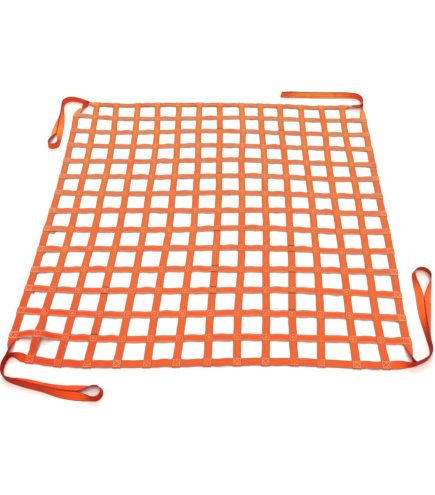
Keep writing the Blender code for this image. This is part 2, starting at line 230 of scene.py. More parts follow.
# Each loop: the border crossing where it starts, the one where it ends, its middle line from the corner to
# where the two layers part, and its eye. Lean is a strap's angle from the floor: 90 stands it on edge, and
# less than 90 leans its top over the eye's side. A border crossing is the border's direction, the
# lengthwise strap and the crosswise strap. Its leans are even steps of the twist from there to the corner
LOOPS = {
    "loop_front_left": {
        "starts": ("lengthwise", 0, 13),
        "start_leans": (0, 28, 58, 82, 90),
        "ends": ("crosswise", 1, 14),
        "end_leans": (0, 38, 68, 85, 90),
        "line": (
            # x, y, lean of the outgoing layer, lean of the returning layer
            (-733, -732, 90, 90),
            (-739, -758, 90, 90),
            (-735, -786, 90, 90),
            (-719, -808, 88, 84),
            (-690, -817, 78, 64),
            (-640, -828, 70, 50),
            (-570, -842, 66, 48),
            (-510, -852, 46, 38),
            (-457, -854, 24, 26),
        ),
        "eye_length": 93.0,
        "eye_radius": 24.0,
    },
    "loop_front_right": {
        "starts": ("crosswise", 13, 14),
        "start_leans": (0, 30, 62, 82, 90),
        "ends": ("lengthwise", 14, 13),
        "end_leans": (0, 34, 60, 80, 90),
        "line": (
            (745, -722, 90, 90),
            (771, -709, 90, 90),
            (793, -691, 90, 90),
            (802, -664, 84, 88),
            (802, -630, 70, 84),
            (803, -588, 62, 74),
            (808, -529, 44, 52),
            (818, -450, 22, 26),
        ),
        "eye_length": 142.0,
        "eye_radius": 34.0,
    },
    "loop_back_right": {
        "starts": ("lengthwise", 14, 1),
        "start_leans": (0, 16, 50, 82, 90),
        "ends": ("crosswise", 13, 0),
        "end_leans": (0, 44, 53, 58, 90),
        "line": (
            (732, 726, 90, 90),
            (733, 750, 90, 90),
            (727, 776, 90, 90),
            (703, 794, 98, 82),
            (652, 801, 112, 68),
            (580, 803, 126, 54),
            (500, 804, 128, 52),
            (420, 806, 124, 56),
        ),
        "eye_length": 102.0,
        "eye_radius": 5.0,
    },
    "loop_back_left": {
        "starts": ("crosswise", 1, 0),
        "start_leans": (0, 16, 50, 82, 90),
        "ends": ("lengthwise", 0, 1),
        "end_leans": (0, 18, 64, 80, 90),
        "line": (
            (-704, 735, 90, 90),
            (-742, 754, 90, 90),
            (-785, 766, 90, 90),
            (-815, 756, 90, 90),
            (-828, 731, 88, 88),
            (-825, 692, 78, 80),
            (-820, 640, 62, 64),
            (-818, 575, 38, 40),
            (-816, 510, 20, 22),
        ),
        "eye_length": 112.0,
        "eye_radius": 26.0,
    },
}

# The camera, fitted to the even grid: its place in millimetres, its angles in degrees and its lens
CAMERA_PLACE = (106.96, -1602.92, 1813.87)
CAMERA_YAW = -3.710
CAMERA_DOWN = 52.317
CAMERA_ROLL = -2.275
CAMERA_LENS = 39.825
CAMERA_SENSOR = 36.0
CAMERA_NEAR = 0.05

# Webbing colours of each kind of strap. The face has a colour at the back of the net and one at the front,
# and so has the painted shade, darker and redder, on the parts that stand on edge. The colour along the
# edges is partly the webbing's own duller edge tone and partly painted shade on its rounded edges. The edge
# band is where that colour starts and is full, in parts of the width from the middle, and how strong it is.
# The thin
# sides get a colour of their own: painted light on the straps of the grid, and on the loops their edge
# colour
WEBBING_COLOURS = {
    "lengthwise_webbing": {
        "face": ((0.71, 0.198, 0.038), (0.75, 0.101, 0.018)),
        "upright_shade": ((0.55, 0.02, 0.004), (0.55, 0.02, 0.004)),
        "edge_tone_and_shade": (0.32, 0.118, 0.062),
        "edge_band": (0.15, 0.46, 0.70),
        "side_light_and_shade": (0.60, 0.220, 0.110),
        "groove_tone_and_shade": 0.42,
    },
    "crosswise_webbing": {
        "face": ((0.57, 0.228, 0.090), (0.74, 0.086, 0.015)),
        "upright_shade": ((0.50, 0.02, 0.004), (0.50, 0.02, 0.004)),
        "edge_tone_and_shade": (0.50, 0.205, 0.115),
        "edge_band": (0.15, 0.46, 0.75),
        "side_light_and_shade": (0.95, 0.500, 0.300),
        "groove_tone_and_shade": 0.38,
    },
    "border_webbing": {
        "face": ((0.69, 0.190, 0.048), (0.75, 0.096, 0.018)),
        "upright_shade": ((0.55, 0.02, 0.004), (0.55, 0.02, 0.004)),
        "edge_tone_and_shade": (0.32, 0.118, 0.062),
        "edge_band": (0.15, 0.46, 0.70),
        "side_light_and_shade": (0.60, 0.220, 0.110),
        "groove_tone_and_shade": 0.5,
    },
    "loop_webbing": {
        "face": ((0.98, 0.285, 0.060), (0.96, 0.110, 0.018)),
        "upright_shade": ((0.98, 0.085, 0.016), (0.42, 0.0, 0.0)),
        "edge_tone_and_shade": (0.30, 0.025, 0.012),
        "edge_band": (0.38, 0.47, 0.90),
        "side_light_and_shade": (0.30, 0.025, 0.012),
        "groove_tone_and_shade": 0.6,
    },
}

# Half the distance, in metres, over which the colours run from front to back
HUE_REACH = 0.75

# The net is redder near its front left corner. The reaches are in metres from that place
CORNER_RED = (0.70, 0.030, 0.008)
CORNER_PLACE = (-0.74, -0.78, 0.0)
CORNER_REACH = 0.5
CORNER_FULL = 0.1
CORNER_STRENGTH = 0.75

# Patches where the webbing has the colour of the front
PATCH_SCALE = 11.0
PATCH_RANGE = (0.46, 0.64)
PATCH_STRENGTH = 0.55

# Painted shade where the webbing stands on edge: a darker, redder colour mixed in as the face's upward part
# falls from the first value to the second, up to the given strength
UPRIGHT_SHADE_RANGE = (0.6, 0.1)
UPRIGHT_SHADE_STRENGTH = 0.95

# Fine flecks of darker yarn
FLECKS = (0.40, 0.03, 0.008)
FLECK_SCALE = 160.0
FLECK_DETAIL = 4.0
FLECK_RANGE = (0.3, 0.7)
FLECK_STRENGTH = 0.16

# Where the webbing's thin sides start, in parts of its width from the middle, and how strongly their
# colour, painted light on the straps of the grid, is mixed in
THIN_SIDE_RANGE = (0.485, 0.495)
THIN_SIDE_STRENGTH = 0.9

# Two grooves run along the webbing, at this part of its width from the middle. They are coloured darker,
# partly as the webbing's own dark lines and partly as painted shade in the recess
GROOVE_TONE_AND_SHADE = (0.42, 0.02, 0.008)
GROOVE_PLACE = 0.173
GROOVE_FULL = 0.01
GROOVE_REACH = 0.05

# Weave: ribs and picks in one width of the webbing, the height of a rib between two picks as a part of its
# full height, the strength and depth in metres of the relief, and the surface
RIBS_ACROSS = 22.0
PICKS_ALONG = 24.0
PICK_LEAST = 0.4
WEAVE_STRENGTH = 0.5
WEAVE_DEPTH = 0.0004
WEBBING_ROUGHNESS = (0.55, 0.75)
WEBBING_SPECULAR = 0.05
SHEEN_WEIGHT = 0.02
SHEEN_ROUGHNESS = 0.5
SHEEN_TINT = (1.0, 0.55, 0.35, 1.0)

# Sewing thread: its brighter and duller colours, the dark colours of the painted step shadows' stitches,
# and how they change over the net
PALE_THREAD = ((1.0, 0.68, 0.38), (0.84, 0.26, 0.09))
STEP_SHADOW_COLOURS = ((0.03, 0.008, 0.006), (0.08, 0.012, 0.008))
THREAD_SCALE = 9.0
THREAD_RANGE = (0.50, 0.66)
THREAD_ROUGHNESS = 0.5

# Pale floor, a hair under the straps, and soft light from behind and above. Half the floor's side and its
# drop are in metres
FLOOR_HALF = 100.0
FLOOR_DROP = 0.0002
FLOOR_COLOUR = (0.86, 0.775, 0.73, 1.0)
FLOOR_ROUGHNESS = 0.9
FLOOR_SPECULAR = 0.1
LAMPS = (
    # name, strength, height over the floor in degrees, width in degrees
    ("overhead", 2.15, 88.0, 46.0),
    ("behind", 1.5, 48.0, 20.0),
    ("front", 0.5, 145.0, 40.0),
)
LAMP_SIDE = 5.0
SKY_COLOUR = (1.0, 1.0, 1.0, 1.0)
SKY_STRENGTH = 0.30


def smooth_value(values, place):
    """Value at a fractional place in evenly spaced values, on a smooth curve through them."""
    last = len(values) - 1
    place = min(max(place, 0.0), float(last))
    index = min(int(place), last - 1)
    part = place - index
    here = values[index]
    there = values[index + 1]
    before = values[index - 1] if index > 0 else 2 * here - there
    after = values[index + 2] if index + 2 <= last else 2 * there - here
    slope = there - before
    bend = 2 * before - 5 * here + 4 * there - after
    twist = 3 * (here - there) + after - before
    return here + 0.5 * part * (slope + part * (bend + part * twist))


def ease(part):
    """From 0 to 1 as part does, but level at both ends."""
    return part * part * (3 - 2 * part)


def lengthwise_x(strap, y):
    """Sideways place of a lengthwise strap's middle at a distance along it."""
    cells = (HALF_SIDE - y) / PITCH
    drift = smooth_value(LENGTHWISE_DRIFT[strap], cells / 2)
    for shifted, place, shift in LOCAL_SHIFTS:
        away = min(abs(cells - place), 1.0)
        if shifted == strap:
            drift += shift * (1 - ease(away))
    return (strap - CELLS / 2) * PITCH + drift


def crosswise_y(strap, x):
    """Place of a crosswise strap's middle, front to back, at a distance along it."""
    even = (CELLS / 2 - strap) * PITCH
    return even + smooth_value(CROSSWISE_DRIFT[strap], (x + HALF_SIDE) / (2 * PITCH))


def crossing(lengthwise, crosswise):
    """Where the middles of two straps cross in plan."""
    y = (CELLS / 2 - crosswise) * PITCH
    for _ in range(CROSSING_ROUNDS):
        x = lengthwise_x(lengthwise, y)
        y = crosswise_y(crosswise, x)
    return x, y


def plan_point(direction, strap, along):
    """Plan point of a strap's middle. Along runs from back to front, or from left to right."""
    if direction == "lengthwise":
        return Vector((lengthwise_x(strap, -along), -along, 0.0))
    return Vector((along, crosswise_y(strap, along), 0.0))


def crossing_along(direction, strap, other):
    """Distance along a strap, in its own direction, to where another one crosses it."""
    if direction == "lengthwise":
        return -crossing(strap, other)[1]
    return crossing(other, strap)[0]


def left_of(heading):
    """Level unit vector to the left of a heading."""
    return Vector((-heading.y, heading.x, 0.0)).normalized()


def bow(direction, strap, cell):
    """Height and sideways tilt of the stretch in one cell, a little different in each."""
    turn = 1.0 if direction == "lengthwise" else 2.0
    wave = math.sin(BOW_BY_STRAP * strap + BOW_BY_CELL * cell + turn)
    tilt = MOST_TILT * math.sin(TILT_BY_STRAP * strap + TILT_BY_CELL * cell + 3 * turn)
    height = MOST_BOW * (0.5 + 0.5 * wave) + HALF_WIDTH * abs(math.sin(math.radians(tilt)))
    return ON_FLOOR + height, tilt


def raised_at(direction, strap, along):
    """How far the raised crossing lifts a strap off the floor at a distance along it."""
    lengthwise, crosswise = RAISED_CROSSING
    own, other = (lengthwise, crosswise) if direction == "lengthwise" else (crosswise, lengthwise)
    if strap != own:
        return 0.0
    away = abs(along - crossing_along(direction, strap, other)) - LEVEL_HALF
    part = min(max(away / RAISED_REACH, 0.0), 1.0)
    return RAISED_BY * (1 - ease(part))


def level_at(direction, strap, other):
    """Height of a strap's middle where it crosses another inner strap, before any lift."""
    place = (strap, other) if direction == "lengthwise" else (other, strap)
    on_top = (direction == "lengthwise") != (place == RAISED_CROSSING)
    return OVER_ONE if on_top else ON_FLOOR


def resting_height(lean):
    """Height of a leaning strap's middle when its lower edge lies on the floor."""
    return HALF_WIDTH * math.sin(lean) + HALF_THICK * abs(math.cos(lean))


def leaning_station(plan, heading, lean, lift=0.0):
    """A station of a strap that lies, leans or stands on the floor, its top over its left side."""
    middle = plan + Vector((0, 0, resting_height(lean) + lift))
    edge = left_of(heading) * math.cos(lean) + Vector((0, 0, math.sin(lean)))
    return middle, edge, True


def spread_of(lean, other_lean):
    """Half the distance between two layers that touch: along their tops, or face to face."""
    face_to_face = (HALF_THICK + LAYER_GAP / 2) / math.sin(lean)
    if max(lean, other_lean) > math.radians(ON_EDGE):
        return face_to_face
    return HALF_WIDTH * math.cos(lean) + HALF_THICK * math.sin(lean) + LAYER_GAP / 2


def twist_from_border(place, leans, meeting, meeting_heading):
    """Stations from a border's last crossing, flat, to the corner, on edge."""
    direction, lengthwise, crosswise = place
    strap, other = (lengthwise, crosswise) if direction == "lengthwise" else (crosswise, lengthwise)
    root_along = crossing_along(direction, strap, other)
    outward = 1 if root_along > 0 else -1
    root = plan_point(direction, strap, root_along + outward * GAP / 2)
    level_end = plan_point(direction, strap, root_along + outward * LEVEL_HALF)
    heading = (level_end - root).normalized()
    reach = (meeting - level_end).length
    stations = [leaning_station(root, heading, 0.0, STEP_UP)]
    for step in range(TWIST_STEPS):
        part = step / TWIST_STEPS
        pull_out = heading * (reach * part * (1 - part) ** 2)
        pull_in = meeting_heading * (reach * (part - 1) * part**2)
        blend = ease(part)
        plan = level_end.lerp(meeting, blend) + pull_out + pull_in
        ahead = heading.lerp(meeting_heading, blend)
        lean = math.radians(smooth_value(leans, part * (len(leans) - 1)))
        stations.append(leaning_station(plan, ahead, lean, STEP_UP * (1 - part)))
    return stations


def heading_at(direction, strap, along):
    """Level unit heading of a strap at a distance along it."""
    ahead = plan_point(direction, strap, along + HEADING_REACH)
    return (ahead - plan_point(direction, strap, along - HEADING_REACH)).normalized()


def folded_end(direction, strap, border, outward):
    """Stations of a strap's end folded square round a border, from its tail's end to its inner side."""
    along = crossing_along(direction, strap, border)
    ahead = heading_at(direction, strap, along)
    border_direction = "crosswise" if direction == "lengthwise" else "lengthwise"
    axis = heading_at(border_direction, border, crossing_along(border_direction, border, strap))
    if axis.dot(left_of(ahead)) < 0:
        axis = -axis
    out = ahead * outward
    normal = (out - axis * out.dot(axis)).normalized()
    slide = axis * (out.dot(axis) / out.dot(normal))
    edge = axis / out.dot(normal)

    tail_past = TAIL_PAST + TAIL_SPREAD * math.sin(TAIL_BY_STRAP * strap + outward)
    tail_turn = 0.0
    if direction == "crosswise" and border == 0 and strap in LOOSE_TAILS:
        tail_past, tail_turn = LOOSE_TAILS[strap]
    tail_heading = (slide - normal).normalized()
    tail_heading.rotate(Matrix.Rotation(-math.radians(tail_turn), 3, "Z"))
    turn_reach = HALF_WIDTH + FOLD_EASE
    turn = plan_point(direction, strap, along) + (normal + slide) * turn_reach
    turn_under = turn + slide * (math.pi * FOLD_RADIUS)
    tail_end = turn_under + tail_heading * (turn_reach + HALF_WIDTH + tail_past)

    up = Vector((0, 0, 1))
    tail_edge = left_of(tail_heading) * -outward
    stations = [(tail_end + up * ON_FLOOR, tail_edge, True), (turn_under + up * ON_FLOOR, edge, False)]
    for angle in FOLD_ANGLES:
        around = math.radians(angle)
        onward = normal * (FOLD_RADIUS * math.sin(around)) + slide * (FOLD_RADIUS * (math.pi - around))
        stations.append((turn + onward + up * (OVER_ONE - FOLD_RADIUS * math.cos(around)), edge, False))
    inner = plan_point(direction, strap, along - outward * LEVEL_HALF)
    stations.append((turn + up * OVER_TWO, edge, False))
    stations.append((inner + up * OVER_TWO, left_of(ahead), True))
    return stations


def loop_stations(loop):
    """One strap that leaves a border, runs out on one side of a middle line and comes back on the other."""
    rows = loop["line"]
    columns = list(zip(*rows))
    out_leg = []
    back_leg = []
    places = [step / AXIS_STEPS for step in range(AXIS_STEPS * (len(rows) - 1) + 1)]
    for place in places:
        x, y, out_lean, back_lean = (smooth_value(column, place) for column in columns)
        x_on, y_on = (smooth_value(column, place + HEADING_ROWS) for column in columns[:2])
        x_back, y_back = (smooth_value(column, place - HEADING_ROWS) for column in columns[:2])
        heading = Vector((x_on - x_back, y_on - y_back, 0.0)).normalized()
        side = left_of(heading)
        middle = Vector((x, y, 0.0))
        out_lean = math.radians(out_lean)
        back_lean = math.radians(back_lean)
        out_plan = middle - side * spread_of(out_lean, back_lean)
        back_plan = middle + side * spread_of(back_lean, out_lean)
        out_leg.append(leaning_station(out_plan, heading, out_lean))
        back_leg.append(leaning_station(back_plan, -heading, back_lean))

    parting = middle
    start_spreads = (spread_of(out_lean, back_lean), spread_of(back_lean, out_lean))
    radius = loop["eye_radius"]
    straight = loop["eye_length"] - radius
    tip_lean = math.radians(TIP_LEAN)
    for step in range(1, LEG_STEPS):
        part = step / LEG_STEPS
        blend = ease(part)
        along = parting + heading * (straight * part)
        out_now = out_lean + (tip_lean - out_lean) * blend
        back_now = back_lean + (tip_lean - back_lean) * blend
        out_side = side * (start_spreads[0] + (radius - start_spreads[0]) * blend)
        back_side = side * (start_spreads[1] + (radius - start_spreads[1]) * blend)
        out_leg.append(leaning_station(along - out_side, heading, out_now))
        back_leg.append(leaning_station(along + back_side, -heading, back_now))

    centre = parting + heading * straight
    tip = []
    for step in range(TIP_STEPS + 1):
        angle = math.pi * step / TIP_STEPS
        outward = heading * math.sin(angle) - side * math.cos(angle)
        onward = heading * math.cos(angle) + side * math.sin(angle)
        tip.append(leaning_station(centre + outward * radius, onward, tip_lean))

    start_heading = Vector((rows[1][0] - rows[0][0], rows[1][1] - rows[0][1], 0.0)).normalized()
    first = Vector((*out_leg[0][0].xy, 0.0))
    last = Vector((*back_leg[0][0].xy, 0.0))
    leaving = twist_from_border(loop["starts"], loop["start_leans"], first, start_heading)
    returning = twist_from_border(loop["ends"], loop["end_leans"], last, start_heading)
    for index, (middle, edge, square) in enumerate(returning):
        returning[index] = (middle, Vector((-edge.x, -edge.y, edge.z)), square)
    return leaving + out_leg + tip + back_leg[::-1] + returning[::-1]


def wave_of(strap, cell, rhythm):
    """A number from -1 to 1 that looks random from strap to strap and cell to cell."""
    return math.sin(BOW_BY_STRAP * strap * rhythm + TILT_BY_CELL * cell * rhythm * rhythm + rhythm)


def free_stretch(direction, strap, cell, start, end, from_level, to_level):
    """(along, height, tilt, sideways) of the stretch in one cell."""
    height, tilt = bow(direction, strap, cell)
    if direction == "crosswise" and cell == 0 and strap in LOOSE_TAILS:
        height += TAIL_ARCH
    height += FREE_LIFT
    skew = math.exp(MOST_SKEW * wave_of(strap, cell, SKEW_RHYTHM))
    swing = MOST_WAVER[direction] * wave_of(strap, cell, SWING_RHYTHM)
    curl = MOST_WAVER[direction] * wave_of(strap, cell, CURL_RHYTHM)
    stretch = []
    for part in CELL_PARTS:
        rise = math.sin(math.pi * part**skew) ** 2
        level = from_level + (to_level - from_level) * part
        sideways = swing * rise + curl * math.sin(2 * math.pi * part)
        along = start + (end - start) * part
        stretch.append((along, level + (height - level) * rise, tilt * rise, sideways))
    return stretch


def cell_profile(direction, strap, crossings, levels, end_level):
    """(along, height, tilt, sideways) between a strap's first and last crossings, in fine steps."""
    profile = []
    last = len(crossings) - 2
    for cell in range(last + 1):
        start = crossings[cell] + LEVEL_HALF
        end = crossings[cell + 1] - LEVEL_HALF
        from_level = end_level if cell == 0 else levels[cell] + CROSSING_LIFT
        to_level = end_level if cell == last else levels[cell + 1] + CROSSING_LIFT
        profile += free_stretch(direction, strap, cell, start, end, from_level, to_level)
        if cell < last:
            profile += [(crossings[cell + 1] + place, to_level, 0.0, 0.0) for place in CROSSING_PLACES]
    return profile


def strap_stations(direction, strap, profile):
    """Stations in space from a profile of (along, height, tilt, sideways)."""
    stations = []
    for along, height, tilt, sideways in profile:
        side = left_of(heading_at(direction, strap, along))
        lifted = height + raised_at(direction, strap, along)
        middle = plan_point(direction, strap, along) + side * sideways + Vector((0, 0, lifted))
        lean = math.radians(tilt)
        stations.append((middle, side * math.cos(lean) + Vector((0, 0, math.sin(lean))), True))
    return stations


def inner_stations(direction, strap):
    """Stations of a strap of the grid's inside, from one folded end to the other."""
    crossings = [crossing_along(direction, strap, other) for other in range(CELLS + 1)]
    levels = [level_at(direction, strap, other) for other in range(CELLS + 1)]
    profile = cell_profile(direction, strap, crossings, levels, OVER_TWO)
    stations = folded_end(direction, strap, 0, -1)
    stations += strap_stations(direction, strap, profile)
    return stations + folded_end(direction, strap, CELLS, 1)[::-1]


def border_stations(direction, strap):
    """Stations of a border between its first and last inner crossings, where it meets the loops."""
    crossings = [crossing_along(direction, strap, other) for other in range(1, CELLS)]
    levels = [OVER_ONE - CROSSING_LIFT] * len(crossings)
    places = (GAP / 2, *CROSSING_PLACES[4:])
    profile = [(crossings[0] + place, OVER_ONE, 0.0, 0.0) for place in places]
    profile += cell_profile(direction, strap, crossings, levels, OVER_ONE)
    profile += [(crossings[-1] - place, OVER_ONE, 0.0, 0.0) for place in places[::-1]]
    return strap_stations(direction, strap, profile)


def add_object(name, mesh, material):
    """An object of the net's one body, with one material."""
    mesh.materials.append(material)
    mesh.shade_smooth()
    added = bpy.data.objects.new(name, mesh)
    bpy.context.scene.collection.objects.link(added)
    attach(added, "root")
    return added


def webbing(name, stations, material):
    """A strap through (middle, edge, square) stations, and its length. Its UVs run across and along it."""
    middles = [station[0] for station in stations]
    last = len(middles) - 1
    around = SECTION + [(u, -v) for u, v in SECTION[-2:0:-1]]
    count = len(around)
    points = []
    distance = 0.0
    lengths = []
    for index, (middle, edge, square) in enumerate(stations):
        if index:
            distance += (middle - middles[index - 1]).length
        lengths.append(distance)
        coming = (middle - middles[max(index - 1, 0)]).normalized()
        going = (middles[min(index + 1, last)] - middle).normalized()
        heading = (coming + going).normalized()
        across = (edge - heading * edge.dot(heading)).normalized() if square else edge
        face = heading.cross(across).normalized()
        ring = [middle - across * u + face * v for u, v in around]
        sunk = max(0.0, -min(point.z for point in ring))
        points.extend((point + Vector((0, 0, sunk))) * MM for point in ring)
    faces = []
    uvs = []
    for index in range(last):
        near = index * count
        far = near + count
        for side in range(count):
            beside = (side + 1) % count
            faces.append((near + side, near + beside, far + beside, far + side))
            u_side = around[side][0] / WIDTH + 0.5
            u_beside = around[beside][0] / WIDTH + 0.5
            v_near = lengths[index] / WIDTH
            v_far = lengths[index + 1] / WIDTH
            uvs.extend(((u_side, v_near), (u_beside, v_near), (u_beside, v_far), (u_side, v_far)))
    faces.append(tuple(range(count))[::-1])
    faces.append(tuple(range(last * count, last * count + count)))
    for end in (0, last):
        ring_uvs = [(u / WIDTH + 0.5, lengths[end] / WIDTH) for u, _ in around]
        uvs.extend(ring_uvs[::-1] if end == 0 else ring_uvs)
    mesh = bpy.data.meshes.new(name)
    mesh.from_pydata(points, [], faces)
    layer = mesh.uv_layers.new(name="along")
    layer.data.foreach_set("uv", np.array(uvs, dtype=np.float32).ravel())
    strap = add_object(name, mesh, material)
    mesh.set_sharp_from_angle(angle=math.radians(SHARP_ANGLE))
    return strap, distance


def dress(node, stations, material):
    """Puts a webbing strap in the place of a node, and hides the node."""
    strap, length = webbing(f"webbing_{node}", stations, material)
    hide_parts(node)


def line_of_stitches(start, end):
    """(middle, direction) of the stitches on a straight line."""
    run = end - start
    count = max(1, round(run.length / STITCH_PITCH))
    direction = run.normalized()
    return [(start + run * ((index + 0.5) / count), direction) for index in range(count)]


def ring_of_stitches(radius):
    """(middle, direction) of the stitches on a circle."""
    count = round(2 * math.pi * radius / STITCH_PITCH)
    stitches = []
    for index in range(count):
        angle = 2 * math.pi * index / count
        place = Vector((radius * math.cos(angle), radius * math.sin(angle)))
        stitches.append((place, Vector((-math.sin(angle), math.cos(angle)))))
    return stitches


def loop_of_stitches(corners):
    """(middle, direction) of the stitches on a closed outline."""
    stitches = []
    for start, end in zip(corners, corners[1:] + corners[:1]):
        stitches.extend(line_of_stitches(Vector(start), Vector(end)))
    return stitches


def box_stitches(half):
    return loop_of_stitches([(-half, -half), (half, -half), (half, half), (-half, half)])


def diamond_stitches(half):
    return loop_of_stitches([(0, -half), (half, 0), (0, half), (-half, 0)])


def crossing_stitches():
    """Sewing of an inner crossing: a ring and a small diamond in it."""
    return ring_of_stitches(RING_RADIUS) + diamond_stitches(RING_DIAMOND_HALF)


def border_stitches():
    """Sewing where a strap is folded round a border: a box and a diamond in it."""
    return box_stitches(BOX_HALF) + diamond_stitches(BOX_DIAMOND_HALF)


def sew(name, places, material):
    """One piece of stitches. A place is (plan point, heading, height, stitches)."""
    points = []
    faces = []
    for plan, heading, height, stitches in places:
        ahead = Vector((heading.x, heading.y, 0.0)).normalized()
        left = left_of(ahead)
        for spot, direction in stitches:
            middle = plan + ahead * spot.y - left * spot.x + Vector((0, 0, height))
            along = ahead * direction.y - left * direction.x
            beside = Vector((-along.y, along.x, 0.0)) * STITCH_HALF_WIDTH
            half = along * (STITCH_LENGTH / 2)
            shoulder = half * STITCH_SHOULDER
            crest = half * STITCH_CREST
            top = Vector((0, 0, STITCH_HEIGHT))
            low = Vector((0, 0, -STITCH_SUNK))
            base = len(points)
            points.append(middle - half + low)
            points.append(middle - shoulder + beside)
            points.append(middle + shoulder + beside)
            points.append(middle + half + low)
            points.append(middle + shoulder - beside)
            points.append(middle - shoulder - beside)
            points.append(middle - crest + top)
            points.append(middle + crest + top)
            faces.extend(tuple(base + corner for corner in face) for face in STITCH_FACES)
    mesh = bpy.data.meshes.new(name)
    mesh.from_pydata([point * MM for point in points], [], faces)
    add_object(name, mesh, material)


def step_shadow_places():
    """Painted step shadows: dark bars of stitches across a few lengthwise straps, at the front or the back
    of a crossing.
    """
    places = []
    for strap, other, side in STEP_SHADOW_BARS:
        along = crossing_along("lengthwise", strap, other)
        stitches = []
        for row in STEP_SHADOW_ROWS:
            start = Vector((-STEP_SHADOW_HALF, side * row))
            end = Vector((STEP_SHADOW_HALF, side * row))
            stitches.extend(line_of_stitches(start, end))
        plan = plan_point("lengthwise", strap, along)
        height = OVER_ONE + CROSSING_LIFT + FACE_HEIGHT + STEP_SHADOW_RAISED
        places.append((plan, heading_at("lengthwise", strap, along), height, stitches))
    return places


def sewing_places(direction, strap):
    """Where a strap is sewn on top of the straps under it, and to the borders it is folded round."""
    places = []
    for other in range(CELLS + 1):
        along = crossing_along(direction, strap, other)
        plan = plan_point(direction, strap, along)
        heading = heading_at(direction, strap, along)
        if other in (0, CELLS):
            places.append((plan, heading, OVER_TWO + FACE_HEIGHT, border_stitches()))
        elif level_at(direction, strap, other) == OVER_ONE:
            height = OVER_ONE + CROSSING_LIFT + raised_at(direction, strap, along) + FACE_HEIGHT
            places.append((plan, heading, height, crossing_stitches()))
    return places


def new_material(name):
    material = bpy.data.materials.new(name)
    material.use_nodes = True
    return material, material.node_tree, material.node_tree.nodes["Principled BSDF"]


class Maths:
    """Short names for a node tree's maths."""

    def __init__(self, tree):
        self.tree = tree

    def link(self, source, socket):
        if isinstance(source, bpy.types.NodeSocket):
            self.tree.links.new(source, socket)
        else:
            socket.default_value = source

    def op(self, operation, first, second=None):
        node = self.tree.nodes.new("ShaderNodeMath")
        node.operation = operation
        self.link(first, node.inputs[0])
        if second is not None:
            self.link(second, node.inputs[1])
        return node.outputs[0]

    def ramp(self, value, low, high, to_low=0.0, to_high=1.0):
        node = self.tree.nodes.new("ShaderNodeMapRange")
        self.link(value, node.inputs["Value"])
        node.inputs["From Min"].default_value = low
        node.inputs["From Max"].default_value = high
        node.inputs["To Min"].default_value = to_low
        node.inputs["To Max"].default_value = to_high
        return node.outputs["Result"]

    def mix(self, part, first, second):
        node = self.tree.nodes.new("ShaderNodeMix")
        node.data_type = "RGBA"
        self.link(part, node.inputs[0])
        for value, socket in ((first, node.inputs[6]), (second, node.inputs[7])):
            self.link(value if isinstance(value, bpy.types.NodeSocket) else (*value, 1.0), socket)
        return node.outputs[2]

    def noise(self, place, scale, detail=2.0):
        node = self.tree.nodes.new("ShaderNodeTexNoise")
        self.link(place, node.inputs["Vector"])
        node.inputs["Scale"].default_value = scale
        node.inputs["Detail"].default_value = detail
        return node.outputs["Fac"]

    def split(self, vector):
        node = self.tree.nodes.new("ShaderNodeSeparateXYZ")
        self.link(vector, node.inputs[0])
        return node.outputs["X"], node.outputs["Y"], node.outputs["Z"]

    def distance(self, place, fixed):
        node = self.tree.nodes.new("ShaderNodeVectorMath")
        node.operation = "DISTANCE"
        self.link(place, node.inputs[0])
        self.link(fixed, node.inputs[1])
        return node.outputs["Value"]


def face_colour(maths, coordinates, colours):
    """The face's hue, which drifts over the net, with painted shade, darker and redder, where the webbing
    stands on edge.
    """
    place = coordinates.outputs["Object"]
    _, y, _ = maths.split(place)
    towards_back = maths.ramp(y, -HUE_REACH, HUE_REACH)
    back, front = colours["face"]
    base = maths.mix(towards_back, front, back)
    from_corner = maths.distance(place, CORNER_PLACE)
    near_corner = maths.ramp(from_corner, CORNER_REACH, CORNER_FULL, 0.0, CORNER_STRENGTH)
    base = maths.mix(near_corner, base, CORNER_RED)
    patches = maths.ramp(maths.noise(place, PATCH_SCALE), *PATCH_RANGE)
    base = maths.mix(maths.op("MULTIPLY", patches, PATCH_STRENGTH), base, front)
    # Painted shade: a darker, redder colour where the face points little upward, as on upright webbing
    _, _, upward = maths.split(coordinates.outputs["Normal"])
    upright_shade = maths.ramp(maths.op("ABSOLUTE", upward), *UPRIGHT_SHADE_RANGE, 0.0, UPRIGHT_SHADE_STRENGTH)
    shade_back, shade_front = colours["upright_shade"]
    return maths.mix(upright_shade, base, maths.mix(towards_back, shade_front, shade_back))


def edged_colour(maths, base, across, colours):
    """The face's colour with the edges' tone and painted shade, the thin sides' colour, painted light on
    the straps of the grid, and the grooves' tone and shade.
    """
    from_middle = maths.op("ABSOLUTE", maths.op("SUBTRACT", across, 0.5))
    # The webbing's duller edge tone, with painted shade on the rounded edges
    start, full, strength = colours["edge_band"]
    base = maths.mix(maths.ramp(from_middle, start, full, 0.0, strength), base, colours["edge_tone_and_shade"])
    # The thin sides: painted light on the straps of the grid, paler than the edges; the dark edge colour on
    # the loops
    side_light_and_shade = maths.ramp(from_middle, *THIN_SIDE_RANGE, 0.0, THIN_SIDE_STRENGTH)
    base = maths.mix(side_light_and_shade, base, colours["side_light_and_shade"])
    # The grooves: darker, partly the webbing's own lines and partly painted shade in the recess
    from_groove = maths.op("ABSOLUTE", maths.op("SUBTRACT", from_middle, GROOVE_PLACE))
    groove = maths.ramp(from_groove, GROOVE_FULL, GROOVE_REACH, colours["groove_tone_and_shade"], 0.0)
    return maths.mix(groove, base, GROOVE_TONE_AND_SHADE)


